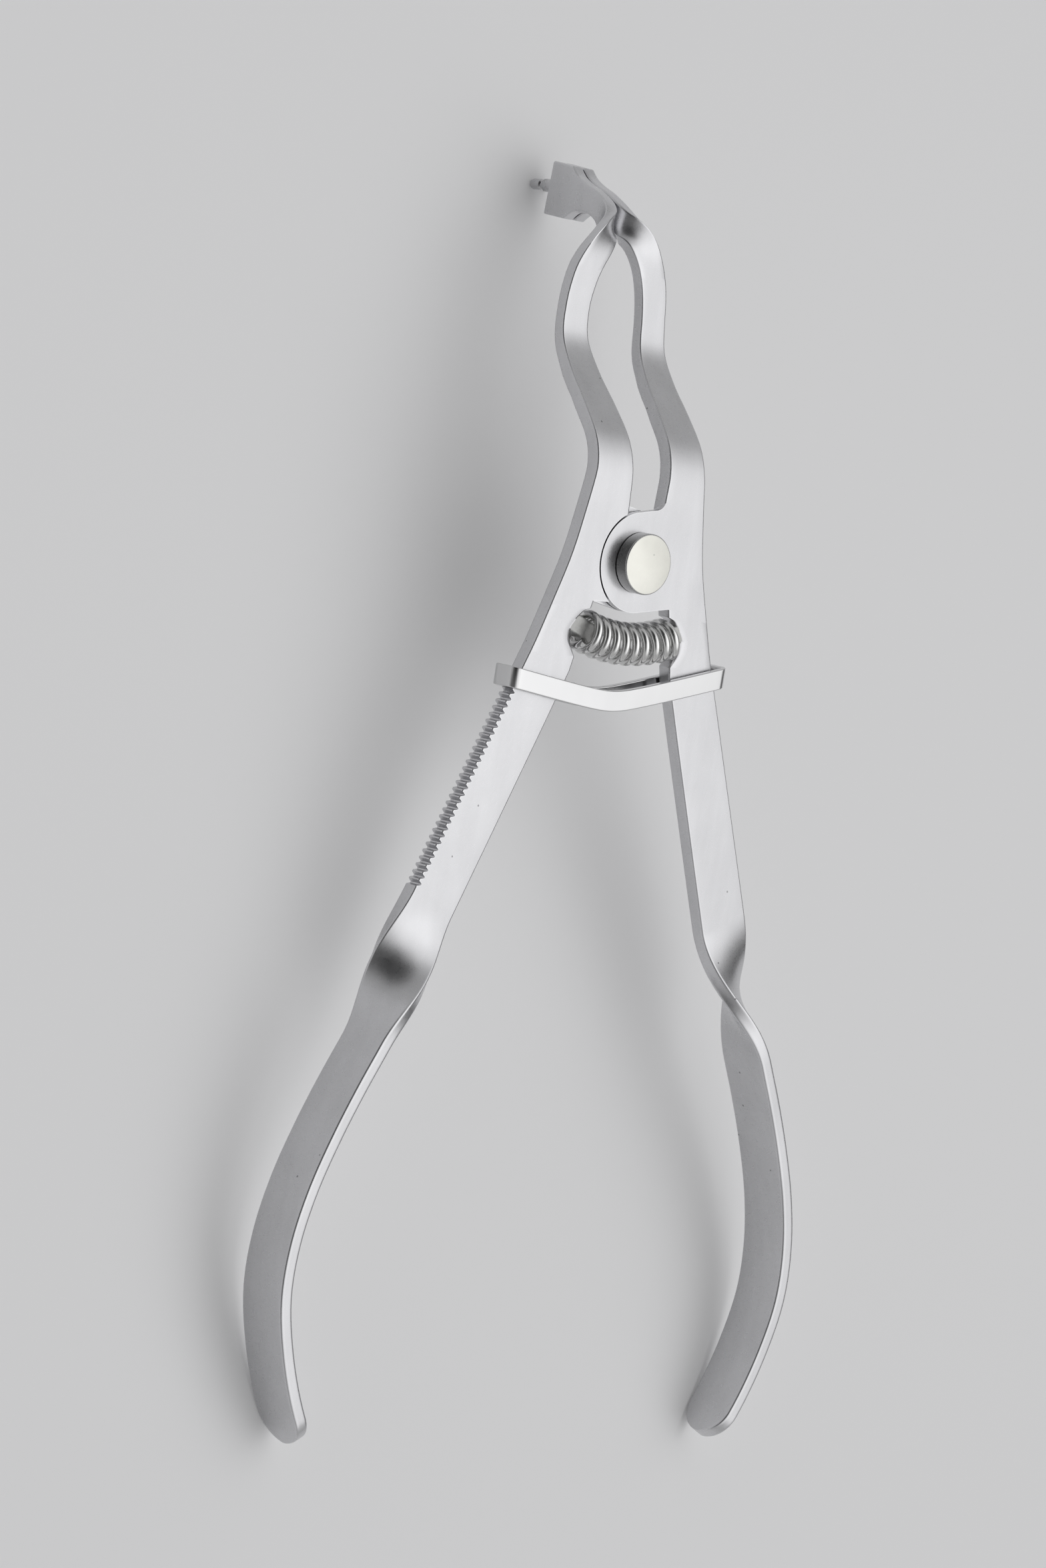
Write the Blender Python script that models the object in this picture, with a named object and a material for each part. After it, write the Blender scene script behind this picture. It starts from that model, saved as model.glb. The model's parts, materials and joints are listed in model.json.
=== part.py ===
"""Rubber dam clamp forceps: two lap-jointed steel arms, a rivet, a coil spring and a locking ring.

Sizes are in millimetres and are turned into metres as the meshes are made. The instrument is drawn
in its own axes: X across it, Y towards the beaks, Z out of its front face, with the origin on the
pivot's axis at that face. One empty then lays the whole instrument down as it lies on a table, on
its two tip pins and the back edges of its handles, with its box's bottom middle at the origin.
An arm is described by u, the distance out from the middle, so one description serves both sides.
"""
from bisect import bisect_right
from math import asin, atan, atan2, ceil, cos, hypot, pi, radians, sin, sqrt

import bmesh
import bpy
from mathutils import Vector

MM = 0.001
LEFT, RIGHT = -1, 1
MERGE_REACH = 0.0005            # points of a turned or wound shape closer than this become one
ARC_PULL = 0.29                 # how far in a rounded corner's middle point lies, as a share of its radius
SHARP_ANGLE = radians(35)

# Arms: flat plates from the bend above the pivot down to the twist above the handles
PLATE_THICK = 2.2
EDGE_ROUND = 0.3
TWIST_TOP, TWIST_BOTTOM, TWIST_STEPS = -47.3, -66.0, 12
TWIST_LEAD = 7.0                # how far above the twist the arm already runs straight into it
SLOPE_REACH = 0.3               # the reach to each side over which a line's slope is taken
CUT_PAST = 1.0                  # how far a cutter reaches past the plate's faces

# Lap joint: each arm has half a plate's thickness in the disc, the left one behind
LAP_RADIUS = 6.74
LAP_RECESS = 7.0
LAP_CLEARANCE = 0.1             # from the lap's middle plane to each half
LAP_SHOULDER_Y = -5.72          # the arms' lower edge beside the lap
LAP_FACETS, PIN_FACETS, TIP_FACETS = 64, 48, 20
WEB_TOP_LEAN, WEB_BOTTOM_LEAN = radians(9.8), radians(8.9)
WEB_CORNERS = [(6.9, LAP_SHOULDER_Y + 0.05), (9.0, -2.0), (6.0, 7.44), (3.4, 7.44)]

# Pivot pin: a straight shank, a raised head in front and a low one behind
PIN_RADIUS, PIN_HOLE, PIN_CLEARANCE = 1.9, 2.1, 0.15
HEAD_RADIUS, HEAD_HEIGHT, HEAD_CHAMFER = 4.08, 2.02, 0.25
TAIL_PROFILE = [(3.2, 0.0), (3.1, 0.45), (2.6, 0.7), (0.0, 0.7)]

# Handles: strips that stand on edge after the twist, with round ends
HANDLE_WIDTH, HANDLE_THICK, HANDLE_ROUND = 8.0, 1.9, 0.4
HANDLE_Z = 0.45                 # middle of the strips' width
HANDLE_END = -118.5             # where the middle of the rounded end lies along Y
HANDLE_TIP = 0.004              # where the rounded end's last section lies, short of the end itself
THIN_END_ROUND = 0.4            # the share of a narrow section's half width that its corners take
BOW_STEPS, END_STEPS = 14, 6
LAY_ROUNDS = 6                  # rounds in which the lay's angle and the ends' depth settle

# Tip pins: distance along the arm, and (radius, height above the pin's end) up the pin
TIP_Y, TIP_END_Z = 48.0, -31.3
TIP_PROFILE = [(0.0, 6.75), (0.88, 6.75), (0.88, 2.65), (0.55, 2.4), (0.55, 2.05), (0.75, 1.85),
               (0.75, 0.4), (0.63, 0.12), (0.4, 0.0), (0.0, 0.0)]

# Ratchet teeth on the left arm's outer edge: each is a land, a steep flank, a floor and a long flank
TOOTH_FIRST_Y, TOOTH_PITCH, TOOTH_COUNT = -16.4, 1.008, 31
TOOTH_DEPTH, TOOTH_LAND, TOOTH_FLANK, TOOTH_FLOOR = 0.68, 0.16, 0.26, 0.17

# Coil spring, sagging between round seats in the arms' inner edges, with closer turns at its ends
COIL_RADIUS, WIRE_RADIUS = 2.375, 0.575
SPRING_TURNS, SPRING_END_TURNS, SPRING_END_PITCH = 9.3, 0.6, 0.65
SPRING_START = radians(-48)
TURN_POINTS = 18                # of the wire, in one turn
SPRING_SAG_RADIUS, SPRING_LOW_Y, SPRING_Z, SPRING_HALF_SPAN = 24.0, -10.95, -0.75, 7.9
PEG_WIDTH, PEG_THICK, PEG_Z, PEG_ROUND = 2.7, 1.8, -0.95, 0.5
PEG_ROOT_X, PEG_TOP_X, PEG_END_X = 10.4, 6.2, 5.75
PEG_END_SIZE = 0.75             # of the peg's section, at its rounded end

# Locking ring: a flat band bent to a shallow V and closed round both arms
RING_HEIGHT, RING_THICK, RING_END_THICK, RING_CLEARANCE = 2.8, 0.95, 0.75, 0.3
RING_LEFT, RING_RIGHT = -20.0, 18.7
RING_BEND, RING_INNER_BEND, RING_EDGE_ROUND = 1.0, 0.15, 0.15
RING_STEPS, RING_BEND_STEPS = 22, 5
RING_LOW_X, RING_LOW_Y, RING_V, RING_LEAN, RING_SOFTEN = -1.5, -18.6, 0.195, 0.07, 3.0

# The front face of an arm seen from the side: distance along Y, height in Z; flat below the last point
BEND_LINE = [(38, -12.03), (35, -12.0), (32, -11.9), (28, -11.22), (24, -8.5), (20, -4.8), (16, -1.55),
             (12, -0.1), (9.5, 0.0), (8.5, 0.0)]
# The bent length's thickness: distance along Y, thickness
THICKNESS = [(38, 1.85), (34, 1.8), (30, 1.75), (22, 1.95), (12, PLATE_THICK)]
# The outlines of one arm seen from the front: distance along Y, distance out from the middle
OUTER_EDGE = [(40, 7.05), (38, 8.1), (35, 8.9), (32, 9.25), (26, 9.5), (19, 9.75), (12, 9.95), (6, 10.9),
              (0, 12.15), (-6, 14.1), (-13, 16.6), (-16, 17.86), (-30, 23.71), (TWIST_TOP, 30.94)]
INNER_EDGE = [(40, 2.15), (38, 3.3), (34, 4.55), (30, 4.85), (25, 4.4), (19, 3.85), (12, 3.35), (5, 3.0)]
INNER_STEPS = [(5, 3.0), (LAP_SHOULDER_Y + 0.1, 3.0), (LAP_SHOULDER_Y, 6.85), (-6.75, 7.13), (-7.0, 7.9),
               (-7.6, 8.6), (-8.8, 9.25), (-10.4, 9.6), (-11.6, 9.6), (-12.5, 9.25), (-13.4, 8.72),
               (-15.3, 9.15), (-24, 12.65), (TWIST_TOP, 22.2)]
ARM_SLOPE = (OUTER_EDGE[-1][1] - OUTER_EDGE[-3][1]) / (OUTER_EDGE[-3][0] - OUTER_EDGE[-1][0])
EXTRA_SECTIONS = [2.5, 0, -2.8, -19.5, -40]
BEND_STEPS = 22
# The handle's outer face after the twist, down to its end
HANDLE_EDGE = [(-60, 33.2), (-66, 36.0), (-71, 38.55), (-78, 41.7), (-85, 44.25), (-92, 45.75),
               (-99, 45.85), (-106, 44.2), (-113, 41.4), (HANDLE_END, 38.4)]
# The beak, down from its end to the arm: the middle of the bar (u, y, z), the degrees it has bent back
# and turned on edge, its width and its thickness. The arm takes over at the last row but one.
BEAK_END = (1.075, 47.73, -26.975, 86.5, 90, 7.27, 1.85)
BEAK_NECK = [(1.075, 47.375, -23.125, 87.2, 90, 7.16, 1.85),
             (1.075, 47.25, -21.75, 86.6, 90, 5.01, 1.85),
             (1.075, 46.95, -20.15, 82.7, 90, 3.93, 1.85),
             (1.075, 46.425, -18.15, 74.5, 90, 3.37, 1.85),
             (1.13, 45.4, -16.2, 65.0, 89, 3.31, 1.85),
             (1.61, 44.15, -14.8, 55.0, 75, 3.6, 1.95),
             (2.53, 42.9, -13.85, 40.0, 40, 4.3, 2.0),
             (3.55, 41.6, -13.25, 23.0, 14, 4.8, 1.95),
             (4.62, 40.0, -13.0, 8.0, 3, 4.92, 1.9),
             (5.7, 38.0, -12.95, 1.0, 0, 4.8, 1.85),
             (6.45, 35.8, -12.93, 0.0, 0, 4.65, 1.8)]
BEAK_END_EDGE = (51.36, -26.75)  # the end's front edge, in Y and Z
NECK_STEPS = 3                  # sections between one row of the neck and the next


def smooth(points):
    """A function through (position, value) points that bends evenly, listed from high to low."""
    ups = sorted(points)
    xs = [p[0] for p in ups]
    ys = [p[1] for p in ups]
    slopes = [(ys[i + 1] - ys[i]) / (xs[i + 1] - xs[i]) for i in range(len(xs) - 1)]
    tangents = [slopes[0]]
    for i in range(1, len(slopes)):
        before, after = xs[i] - xs[i - 1], xs[i + 1] - xs[i]
        tangents.append((slopes[i - 1] * after + slopes[i] * before) / (before + after))
    tangents.append(slopes[-1])

    def value(x):
        i = min(max(bisect_right(xs, x) - 1, 0), len(slopes) - 1)
        step = xs[i + 1] - xs[i]
        t = (x - xs[i]) / step
        return ((1 + 2 * t) * (1 - t) ** 2 * ys[i] + t * (1 - t) ** 2 * step * tangents[i]
                + t * t * (3 - 2 * t) * ys[i + 1] + t * t * (t - 1) * step * tangents[i + 1])
    return value


def straight(points):
    """A function along straight runs between (position, value) points."""
    ups = sorted(points)

    def value(x):
        i = min(max(bisect_right([p[0] for p in ups], x) - 1, 0), len(ups) - 2)
        (x0, y0), (x1, y1) = ups[i], ups[i + 1]
        return y0 + (y1 - y0) * (x - x0) / (x1 - x0)
    return value


def ease(t):
    """A soft step from 0 to 1."""
    t = min(max(t, 0.0), 1.0)
    return t * t * (3 - 2 * t)


def add_object(name, mesh_data, collection, parent):
    piece = bpy.data.objects.new(name, mesh_data)
    collection.objects.link(piece)
    piece.parent = parent
    return piece


def mesh_object(name, bm, collection, parent):
    """An object from a bmesh whose points are in millimetres."""
    for vert in bm.verts:
        vert.co *= MM
    bmesh.ops.recalc_face_normals(bm, faces=bm.faces)
    mesh = bpy.data.meshes.new(name)
    bm.to_mesh(mesh)
    bm.free()
    return add_object(name, mesh, collection, parent)


def helper_object(name, bm, collection, parent):
    """A cutter, or a shape that is joined to a piece: it isn't a piece of its own."""
    tool = mesh_object(name, bm, collection, parent)
    tool.hide_render = True
    tool.display_type = "WIRE"
    return tool


def combine(piece, tool, operation):
    modifier = piece.modifiers.new(tool.name, "BOOLEAN")
    modifier.operation = operation
    modifier.object = tool
    modifier.solver = "EXACT"


def rounded(corners, radius):
    """A closed section: each of its corners becomes three points round a small arc."""
    points = []
    count = len(corners)
    for i, corner in enumerate(corners):
        back = (corners[i - 1] - corner).normalized() * radius
        ahead = (corners[(i + 1) % count] - corner).normalized() * radius
        points += [corner + back, corner + (back + ahead) * ARC_PULL, corner + ahead]
    return points


def loft(sections):
    """A closed bmesh through sections that all have the same number of points."""
    bm = bmesh.new()
    rings = [[bm.verts.new(point) for point in section] for section in sections]
    for ring, following in zip(rings, rings[1:]):
        for i in range(len(ring)):
            j = (i + 1) % len(ring)
            bm.faces.new((ring[i], ring[j], following[j], following[i]))
    bm.faces.new(rings[0])
    bm.faces.new(reversed(rings[-1]))
    return bm


def prism(outline, low, high):
    """An outline in X and Y, raised from low to high along Z."""
    bm = bmesh.new()
    bottom = bm.faces.new([bm.verts.new((x, y, low)) for x, y in outline])
    raised = bmesh.ops.extrude_face_region(bm, geom=[bottom])
    tops = [item for item in raised["geom"] if isinstance(item, bmesh.types.BMVert)]
    bmesh.ops.translate(bm, verts=tops, vec=(0, 0, high - low))
    return bm


def cylinder(radius, low, high, segments):
    bm = bmesh.new()
    bmesh.ops.create_cone(bm, cap_ends=True, segments=segments, radius1=radius, radius2=radius,
                          depth=high - low)
    bmesh.ops.translate(bm, verts=bm.verts, vec=(0, 0, (low + high) / 2))
    return bm


def beak_sections(side):
    """The beak: the bar bends back and turns on edge, so that its front face meets the other arm."""
    columns = [smooth([(i, row[k]) for i, row in enumerate(BEAK_NECK)]) for k in range(len(BEAK_END))]
    count = (len(BEAK_NECK) - 2) * NECK_STEPS
    rows = [BEAK_END] + [[column(i / NECK_STEPS) for column in columns] for i in range(count)]
    for out_by, y, z, bend, turn, width, thick in rows:
        front = Vector((0, sin(radians(bend)), cos(radians(bend))))
        yield bar_section(side, Vector((out_by, y, z)), Vector((1, 0, 0)), front, radians(turn),
                          width / 2, thick / 2, EDGE_ROUND)


def bar_section(side, middle, out, front, turn, half_width, half_thick, radius):
    """A section of an arm whose outer edge has turned from outwards towards the front."""
    across = (out * cos(turn) + front * sin(turn)) * half_width
    face = (front * cos(turn) - out * sin(turn)) * half_thick
    corners = [middle - across + face, middle + across + face,
               middle + across - face, middle - across - face]
    return rounded([Vector((side * x, y, z)) for x, y, z in corners], radius)


def plate_sections(side):
    """The flat arm, bent back above the pivot, cut square across Y."""
    outer, inner_up, inner_down = smooth(OUTER_EDGE), smooth(INNER_EDGE), straight(INNER_STEPS)
    thickness = smooth(THICKNESS)
    bend_top, bend_foot = BEND_LINE[0][0], INNER_STEPS[0][0]
    curved = [bend_top + (bend_foot - bend_top) * step / BEND_STEPS for step in range(BEND_STEPS + 1)]
    lower = [y for y, _ in INNER_STEPS[1:-1]] + EXTRA_SECTIONS
    for y in sorted(curved + lower, reverse=True):
        thick = thickness(y) if y > THICKNESS[-1][0] else PLATE_THICK
        front = bend_height(y)
        back = front - thick * hypot(1, slope_of(bend_height, y))
        inner = inner_up(y) if y > bend_foot else inner_down(y)
        yield rounded([Vector((side * inner, y, front)), Vector((side * outer(y), y, front)),
                       Vector((side * outer(y), y, back)), Vector((side * inner, y, back))],
                      EDGE_ROUND)


def bend_height(y):
    """The height of the arm's front face at a place along it."""
    return smooth(BEND_LINE)(y) if y > BEND_LINE[-1][0] else 0.0


def handle_sections(side):
    """The twist, which turns the front face outwards, and the bowed handle below it, cut square
    across the arm's own run."""
    path = handle_path()
    top_half = (OUTER_EDGE[-1][1] - INNER_STEPS[-1][1]) / 2 / hypot(1, ARM_SLOPE)
    round_end = HANDLE_WIDTH / 2
    end_lean = hypot(1, slope_of(path, HANDLE_END))
    bow_foot = HANDLE_END + round_end / end_lean
    twisted = [TWIST_TOP + (TWIST_BOTTOM - TWIST_TOP) * step / TWIST_STEPS
               for step in range(TWIST_STEPS + 1)]
    bowed = [TWIST_BOTTOM + (bow_foot - TWIST_BOTTOM) * step / BOW_STEPS
             for step in range(1, BOW_STEPS + 1)]
    end_arc = [bow_foot - (bow_foot - HANDLE_END) * sin(pi / 2 * step / END_STEPS)
               for step in range(1, END_STEPS)]
    for y in twisted + bowed + end_arc + [HANDLE_END + HANDLE_TIP]:
        turn = ease((y - TWIST_TOP) / (TWIST_BOTTOM - TWIST_TOP))
        half_thick = (PLATE_THICK + (HANDLE_THICK - PLATE_THICK) * turn) / 2
        half_width = top_half + (HANDLE_WIDTH / 2 - top_half) * turn
        past = (bow_foot - y) * end_lean
        if past > 0:
            half_width = sqrt(round_end ** 2 - past ** 2)
        out = Vector((1, -slope_of(path, y), 0)).normalized()
        middle = Vector((path(y), y, -PLATE_THICK / 2 + (HANDLE_Z + PLATE_THICK / 2) * turn))
        edge_round = EDGE_ROUND + (HANDLE_ROUND - EDGE_ROUND) * turn
        yield bar_section(side, middle, out, Vector((0, 0, 1)), -turn * pi / 2, half_width, half_thick,
                          min(edge_round, half_width * THIN_END_ROUND))


def handle_path():
    """The middle of the arm seen from the front, from the end of the plate to the end of the handle."""
    edge = smooth(HANDLE_EDGE)
    plate_middle = (OUTER_EDGE[-1][1] + INNER_STEPS[-1][1]) / 2
    middles = [(TWIST_TOP + TWIST_LEAD, plate_middle - TWIST_LEAD * ARM_SLOPE), (TWIST_TOP, plate_middle)]
    for y in [y for y, _ in HANDLE_EDGE if y <= TWIST_BOTTOM]:
        middles.append((y, edge(y) - HANDLE_THICK / 2 * hypot(1, slope_of(edge, y))))
    return smooth(middles)


def slope_of(line, y):
    """How fast a line that is given as a function of Y runs outwards, or up, along Y."""
    return (line(y + SLOPE_REACH) - line(y - SLOPE_REACH)) / (2 * SLOPE_REACH)


def lap_layer(side):
    """The low and high side of an arm's own half of the lap: the left arm's is the back one."""
    middle = -PLATE_THICK / 2
    if side == LEFT:
        return -PLATE_THICK, middle - LAP_CLEARANCE
    return middle + LAP_CLEARANCE, 0.0


def lap_boss(side):
    """The round half-thick boss of the lap, with the web that runs from it into the arm."""
    low, high = lap_layer(side)
    turn = LAP_FACETS * 3 // 4
    start, end = pi / 2 + WEB_TOP_LEAN, 1.5 * pi + WEB_BOTTOM_LEAN
    outline = [(LAP_RADIUS * cos(start + (end - start) * i / turn),
                LAP_RADIUS * sin(start + (end - start) * i / turn)) for i in range(turn + 1)]
    return prism([(side * u, y) for u, y in outline + WEB_CORNERS], low, high)


def lap_recess(side):
    """The round room that the other arm's boss turns in."""
    if side == LEFT:
        return cylinder(LAP_RECESS, lap_layer(side)[1], CUT_PAST, LAP_FACETS)
    return cylinder(LAP_RECESS, -PLATE_THICK - CUT_PAST, lap_layer(side)[0], LAP_FACETS)


def tooth_grooves():
    """The grooves that leave the ratchet's teeth, cut through the left arm's outer edge."""
    outer = straight(OUTER_EDGE)
    run = Vector((-ARM_SLOPE, -1)).normalized()
    inward = Vector((-run.y, run.x))
    bm = bmesh.new()
    for count in range(TOOTH_COUNT):
        start_y = TOOTH_FIRST_Y + run.y * TOOTH_PITCH * count
        start = Vector((-outer(start_y), start_y))
        profile = [(TOOTH_LAND, -CUT_PAST), (TOOTH_LAND, 0.0), (TOOTH_LAND + TOOTH_FLANK, TOOTH_DEPTH),
                   (TOOTH_LAND + TOOTH_FLANK + TOOTH_FLOOR, TOOTH_DEPTH), (TOOTH_PITCH, 0.0),
                   (TOOTH_PITCH, -CUT_PAST)]
        outline = [start + run * along + inward * depth for along, depth in profile]
        groove = prism(outline, -PLATE_THICK - CUT_PAST, CUT_PAST)
        piece = bpy.data.meshes.new("groove")
        groove.to_mesh(piece)
        groove.free()
        bm.from_mesh(piece)
        bpy.data.meshes.remove(piece)
    return bm


def spring_axis(angle, z):
    """A point and direction on the sagging line that the coils wind round."""
    centre_y = SPRING_LOW_Y + SPRING_SAG_RADIUS
    point = Vector((SPRING_SAG_RADIUS * sin(angle), centre_y - SPRING_SAG_RADIUS * cos(angle), z))
    return point, Vector((cos(angle), sin(angle), 0))


def spring_peg(side):
    """The short tongue in the middle of an arm's seat that holds the spring's end."""
    sections = []
    for x, size in ((PEG_ROOT_X, 1.0), (PEG_TOP_X, 1.0), (PEG_END_X, PEG_END_SIZE)):
        point, along = spring_axis(asin(x / SPRING_SAG_RADIUS), PEG_Z)
        up = Vector((-along.y, along.x, 0)) * PEG_WIDTH / 2 * size
        out = Vector((0, 0, PEG_THICK / 2 * size))
        corners = [point + up + out, point - up + out, point - up - out, point + up - out]
        sections.append([Vector((side * p.x, p.y, p.z)) for p in rounded(corners, PEG_ROUND * size)])
    return loft(sections)


def tip_pin(side):
    """The grooved pin that enters the clamp's hole, turned round its own axis."""
    bm = turned([(radius, TIP_END_Z + height) for radius, height in TIP_PROFILE], TIP_FACETS)
    bmesh.ops.translate(bm, verts=bm.verts, vec=(side * BEAK_END[0], TIP_Y, 0))
    return bm


def turned(profile, segments):
    """A closed turned shape from a profile of (radius, z) points."""
    bm = bmesh.new()
    points = [bm.verts.new((radius, 0, z)) for radius, z in profile]
    edges = [bm.edges.new(pair) for pair in zip(points, points[1:])]
    bmesh.ops.spin(bm, geom=points + edges, cent=(0, 0, 0), axis=(0, 0, 1), angle=2 * pi, steps=segments)
    bmesh.ops.remove_doubles(bm, verts=bm.verts, dist=MERGE_REACH)
    return bm


def build_arm(name, side, pieces, cutters, parent):
    """One arm: beak, bent plate, half of the lap joint, twist and handle in one forging."""
    sections = list(beak_sections(side)) + list(plate_sections(side)) + list(handle_sections(side))
    arm = mesh_object(name, loft(sections), pieces, parent)
    combine(arm, helper_object(name + "_recess", lap_recess(side), cutters, parent), "DIFFERENCE")
    combine(arm, helper_object(name + "_boss", lap_boss(side), cutters, parent), "UNION")
    combine(arm, helper_object(name + "_peg", spring_peg(side), cutters, parent), "UNION")
    combine(arm, helper_object(name + "_tip", tip_pin(side), cutters, parent), "UNION")
    hole = cylinder(PIN_HOLE, -PLATE_THICK - CUT_PAST, CUT_PAST, PIN_FACETS)
    combine(arm, helper_object(name + "_hole", hole, cutters, parent), "DIFFERENCE")
    if side == LEFT:
        combine(arm, helper_object("tooth_grooves", tooth_grooves(), cutters, parent), "DIFFERENCE")
    return arm


def build_pivot_pin(pieces, parent):
    """The rivet: a raised round head in front, a low one behind."""
    back = -PLATE_THICK - PIN_CLEARANCE
    profile = [(0.0, HEAD_HEIGHT), (HEAD_RADIUS - HEAD_CHAMFER, HEAD_HEIGHT),
               (HEAD_RADIUS, HEAD_HEIGHT - HEAD_CHAMFER), (HEAD_RADIUS, PIN_CLEARANCE),
               (PIN_RADIUS, PIN_CLEARANCE), (PIN_RADIUS, back)]
    profile += [(radius, back - depth) for radius, depth in TAIL_PROFILE]
    return mesh_object("pivot_pin", turned(profile, PIN_FACETS), pieces, parent)


def coil_part(turn):
    """The share of the spring's length that the wire has covered after some turns."""
    closed = min(turn, SPRING_END_TURNS) + max(turn - SPRING_TURNS + SPRING_END_TURNS, 0.0)
    whole = SPRING_TURNS - 2 * SPRING_END_TURNS * (1 - SPRING_END_PITCH)
    return (turn - closed * (1 - SPRING_END_PITCH)) / whole


def build_spring(pieces, parent):
    """The coil spring, wound round its sagging axis."""
    half_angle = asin(SPRING_HALF_SPAN / SPRING_SAG_RADIUS)
    count = ceil(SPRING_TURNS * TURN_POINTS)
    curve = bpy.data.curves.new("spring", "CURVE")
    curve.dimensions = "3D"
    curve.bevel_depth = WIRE_RADIUS * MM
    curve.bevel_resolution = 2
    curve.use_fill_caps = True
    spline = curve.splines.new("POLY")
    spline.points.add(count)
    for i, spline_point in enumerate(spline.points):
        turn = SPRING_TURNS * i / count
        point, along = spring_axis(half_angle * (2 * coil_part(turn) - 1), SPRING_Z)
        down = Vector((along.y, -along.x, 0))
        round_angle = 2 * pi * turn + SPRING_START
        around = down * cos(round_angle) - Vector((0, 0, 1)) * sin(round_angle)
        spline_point.co = ((point + around * COIL_RADIUS) * MM).to_4d()
    wire = add_object("spring_wire", curve, pieces, parent)
    bpy.context.view_layer.update()
    evaluated = wire.evaluated_get(bpy.context.evaluated_depsgraph_get())
    mesh = bpy.data.meshes.new_from_object(evaluated)
    mesh.name = "spring"
    bm = bmesh.new()
    bm.from_mesh(mesh)
    bmesh.ops.remove_doubles(bm, verts=bm.verts, dist=MERGE_REACH * MM)
    bm.to_mesh(mesh)
    bm.free()
    spring = add_object("spring", mesh, pieces, parent)
    bpy.data.objects.remove(wire)
    return spring


def ring_level(x):
    """The height in Y of the ring's middle: a softened V that leans a little to one side."""
    away = x - RING_LOW_X
    return RING_LOW_Y + RING_V * (hypot(away, RING_SOFTEN) - RING_SOFTEN) + RING_LEAN * away


def ring_outline(in_face, in_end, radius):
    """The band's closed outline seen along Y, set in from its outer faces and from its ends."""
    depth = PLATE_THICK / 2 + RING_CLEARANCE + RING_THICK - in_face
    left, right = RING_LEFT + in_end + radius, RING_RIGHT - in_end - radius
    corners = []
    for x, z, first in ((right, depth - radius, 90), (right, radius - depth, 0),
                        (left, radius - depth, -90), (left, depth - radius, -180)):
        corners.append([arc_point(x, z, radius, first - 90 * i / RING_BEND_STEPS)
                        for i in range(RING_BEND_STEPS + 1)])
    front = [(left + (right - left) * i / RING_STEPS, depth) for i in range(1, RING_STEPS)]
    back = [(x, -depth) for x, _ in reversed(front)]
    return corners[0] + corners[1] + back + corners[2] + corners[3] + front


def arc_point(x, z, radius, degrees):
    return x + radius * cos(radians(degrees)), z + radius * sin(radians(degrees))


def build_locking_ring(pieces, parent):
    """The flat band that slides along the arms over the ratchet's teeth."""
    bm = bmesh.new()
    rings = []
    outer_line = ring_outline(0.0, 0.0, RING_BEND)
    inner_line = ring_outline(RING_THICK, RING_END_THICK, RING_INNER_BEND)
    for (outer_x, outer_z), (inner_x, inner_z) in zip(outer_line, inner_line):
        corners = []
        for x, z, rise in ((outer_x, outer_z, 0.5), (outer_x, outer_z, -0.5),
                           (inner_x, inner_z, -0.5), (inner_x, inner_z, 0.5)):
            corners.append(Vector((x, ring_level(x) + rise * RING_HEIGHT, z - PLATE_THICK / 2)))
        rings.append([bm.verts.new(point) for point in rounded(corners, RING_EDGE_ROUND)])
    for i, ring in enumerate(rings):
        following = rings[(i + 1) % len(rings)]
        for j in range(len(ring)):
            k = (j + 1) % len(ring)
            bm.faces.new((ring[j], ring[k], following[k], following[j]))
    return mesh_object("locking_ring", bm, pieces, parent)


def steel(name, colour, roughness):
    material = bpy.data.materials.new(name)
    material.use_nodes = True
    shader = material.node_tree.nodes["Principled BSDF"]
    shader.inputs["Base Color"].default_value = (*colour, 1.0)
    shader.inputs["Roughness"].default_value = roughness
    shader.inputs["Metallic"].default_value = 1.0
    return material


def lay_down(instrument):
    """Turn and place the instrument so that it lies on its tip pins and its handles' back edges."""
    slope = slope_of(handle_path(), HANDLE_END)
    lean, end_radius = atan(slope), HANDLE_WIDTH / 2
    end_y = HANDLE_END + end_radius * cos(lean)
    tip_y = TIP_Y - TIP_PROFILE[-2][0]
    reach, drop = tip_y - end_y, HANDLE_Z - TIP_END_Z
    angle = 0.0
    for _ in range(LAY_ROUNDS):
        end_depth = (end_radius * hypot(cos(lean) * sin(angle), cos(angle))
                     + HANDLE_THICK / 2 * sin(lean) * sin(angle))
        angle = atan2(drop, reach) - asin(end_depth / hypot(reach, drop))
    lowest = tip_y * sin(angle) + TIP_END_Z * cos(angle)
    beak_y = BEAK_END_EDGE[0] * cos(angle) - BEAK_END_EDGE[1] * sin(angle)
    handle_y = (HANDLE_END - HANDLE_THICK / 2 * sin(lean)) * cos(angle) - HANDLE_Z * sin(angle)
    instrument.rotation_euler = (angle, 0, 0)
    instrument.location = (0, -(beak_y + handle_y) / 2 * MM, -lowest * MM)


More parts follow.
